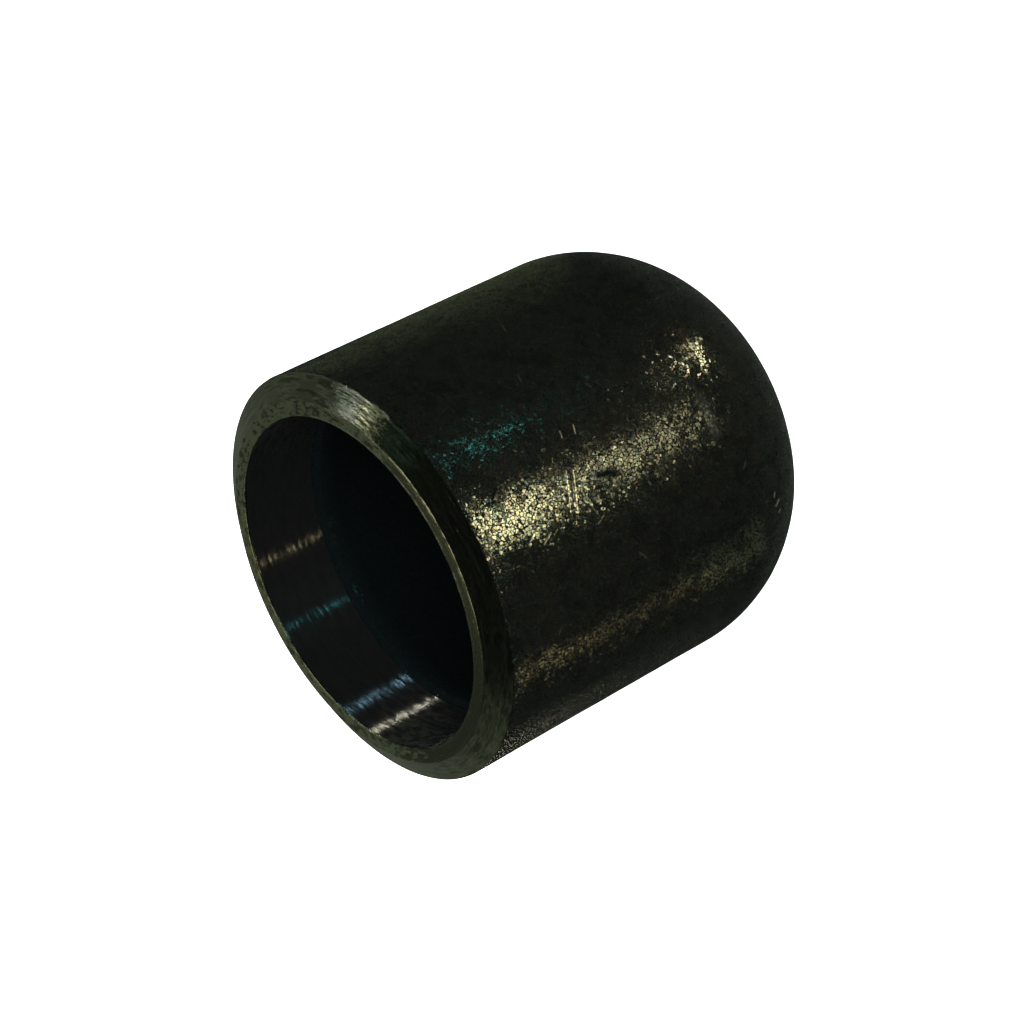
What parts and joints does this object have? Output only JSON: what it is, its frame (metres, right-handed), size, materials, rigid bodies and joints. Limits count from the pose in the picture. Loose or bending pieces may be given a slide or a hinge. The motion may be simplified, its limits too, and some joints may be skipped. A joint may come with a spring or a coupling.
{
  "type": "pipe weld cap",
  "caption": "Domed steel butt-weld cap that closes the end of a pipe, with a bored mouth, a flat root land and a weld bevel.",
  "frame": {"origin": "centre of the small flat at the crown of the dome, on which the cap stands", "axes": "+Z along the cap's axis, out of its mouth; X and Y across it"},
  "size_m": [0.0338, 0.0338, 0.038],
  "materials": {
    "black_steel": "Shot-blasted black scale on the pressed outside and in the hollow, bare turned steel on the bore, land and bevel"
  },
  "bodies": {
    "root": {"weld_cap": "black_steel"}
  },
  "joints": []
}
